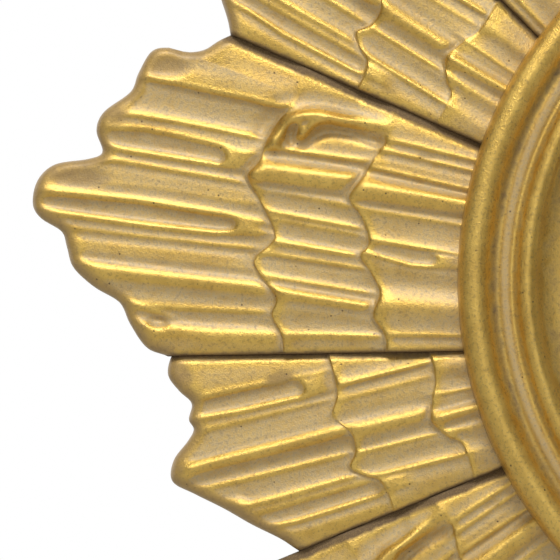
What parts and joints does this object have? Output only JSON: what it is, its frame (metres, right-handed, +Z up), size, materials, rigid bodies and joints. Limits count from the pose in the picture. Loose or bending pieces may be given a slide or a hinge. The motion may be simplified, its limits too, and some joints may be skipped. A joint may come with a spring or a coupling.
{
  "type": "sunburst wall clock",
  "caption": "Gilt sunburst wall clock: carved scalloped rays on a round board, a turned ring, a glazed dial, three hands and a quartz movement.",
  "frame": {"origin": "the hand arbor's axis in the plane of the wall, at the centre of the board's back face", "axes": "+Z up towards 12 o'clock, +Y into the wall, so the dial faces -Y and 3 o'clock is +X"},
  "size_m": [0.5028, 0.0416, 0.5022],
  "materials": {
    "gilt_paint": "aged satin gold paint with worn beige undercoat over carved wood",
    "board_wood": "bare plywood",
    "steel": "zinc plated",
    "iron": "plain iron",
    "dial_face": "matte cream",
    "dark_metal": "satin black",
    "glass": "clear",
    "brass": "plain",
    "black_plastic": "moulded",
    "white_plastic": "moulded",
    "rubber": "plain",
    "copper_wire": "enamelled",
    "card": "laminate",
    "magnet": "ground",
    "cell": "plain label"
  },
  "bodies": {
    "clock_case": {"backing_board": "board_wood", "brass_washer": "brass", "case_back": "black_plastic", "case_front": "black_plastic", "chip": "black_plastic", "circuit_card": "card", "coil_bobbin": "black_plastic", "coil_core": "iron", "coil_winding": "copper_wire", "dial": "dial_face", "dial_screws": "steel", "glass_lens": "glass", "hanger_plate": "steel", "hanger_screws": "steel", "large_ray_1": "gilt_paint", "large_ray_2": "gilt_paint", "large_ray_3": "gilt_paint", "large_ray_4": "gilt_paint", "large_ray_5": "gilt_paint", "large_ray_6": "gilt_paint", "large_ray_7": "gilt_paint", "large_ray_8": "gilt_paint", "mid_plate": "white_plastic", "mounting_nut": "brass", "negative_contact": "steel", "positive_contact": "steel", "quartz_crystal": "steel", "ray_screws": "steel", "reflector_ring": "brass", "ring_moulding": "gilt_paint", "ring_screws": "steel", "rubber_gasket": "rubber", "small_ray_1": "gilt_paint", "small_ray_2": "gilt_paint", "small_ray_3": "gilt_paint", "small_ray_4": "gilt_paint", "small_ray_5": "gilt_paint", "small_ray_6": "gilt_paint", "small_ray_7": "gilt_paint", "small_ray_8": "gilt_paint", "stator": "iron"},
    "minute_work": {"minute_hand": "dark_metal", "minute_hand_nut": "brass", "minute_tube": "brass"},
    "hour_work": {"hour_hand": "dark_metal", "hour_wheel": "white_plastic"},
    "minute_wheel_work": {"minute_wheel": "white_plastic"},
    "setting_work": {"setting_knob": "black_plastic"},
    "seconds_work": {"second_hand": "dark_metal", "seconds_wheel": "white_plastic"},
    "third_work": {"third_wheel": "white_plastic"},
    "center_work": {"center_wheel": "white_plastic"},
    "intermediate_work": {"intermediate_wheel": "white_plastic"},
    "rotor_work": {"rotor_pinion": "white_plastic", "rotor_magnet": "magnet"},
    "battery_cell": {"battery": "cell"}
  },
  "joints": [
    {"name": "minute_spin", "type": "hinge", "parent": "clock_case", "child": "minute_work", "pos_m": [0, 0, 0], "axis": [0, 1, 0], "continuous": true},
    {"name": "hour_spin", "type": "hinge", "parent": "clock_case", "child": "hour_work", "pos_m": [0, 0, 0], "axis": [0, 1, 0], "continuous": true},
    {"name": "minute_wheel_spin", "type": "hinge", "parent": "clock_case", "child": "minute_wheel_work", "pos_m": [0.008, 0, 0], "axis": [0, 1, 0], "continuous": true},
    {"name": "setting_spin", "type": "hinge", "parent": "clock_case", "child": "setting_work", "pos_m": [0.017, 0, 0], "axis": [0, 1, 0], "continuous": true},
    {"name": "seconds_spin", "type": "hinge", "parent": "clock_case", "child": "seconds_work", "pos_m": [0, 0, 0], "axis": [0, 1, 0], "continuous": true},
    {"name": "third_spin", "type": "hinge", "parent": "clock_case", "child": "third_work", "pos_m": [-0.00883, 0, 0.0051], "axis": [0, 1, 0], "continuous": true},
    {"name": "center_spin", "type": "hinge", "parent": "clock_case", "child": "center_work", "pos_m": [0, 0, 0], "axis": [0, 1, 0], "continuous": true},
    {"name": "intermediate_spin", "type": "hinge", "parent": "clock_case", "child": "intermediate_work", "pos_m": [0.00254, 0, 0.00947], "axis": [0, 1, 0], "continuous": true},
    {"name": "rotor_spin", "type": "hinge", "parent": "clock_case", "child": "rotor_work", "pos_m": [0.01099, 0, 0.01254], "axis": [0, 1, 0], "continuous": true},
    {"name": "battery_slide", "type": "slide", "parent": "clock_case", "child": "battery_cell", "axis": [0, 1, 0], "range_m": [0, 0.02]}
  ],
  "couplings": [
    {"joint": "hour_spin", "follows": "minute_spin", "ratio": 0.083333},
    {"joint": "minute_wheel_spin", "follows": "minute_spin", "ratio": -0.33333},
    {"joint": "setting_spin", "follows": "minute_spin", "ratio": 0.66667},
    {"joint": "third_spin", "follows": "seconds_spin", "ratio": -0.13333},
    {"joint": "center_spin", "follows": "seconds_spin", "ratio": 0.016667},
    {"joint": "intermediate_spin", "follows": "seconds_spin", "ratio": -6},
    {"joint": "rotor_spin", "follows": "seconds_spin", "ratio": 30}
  ]
}
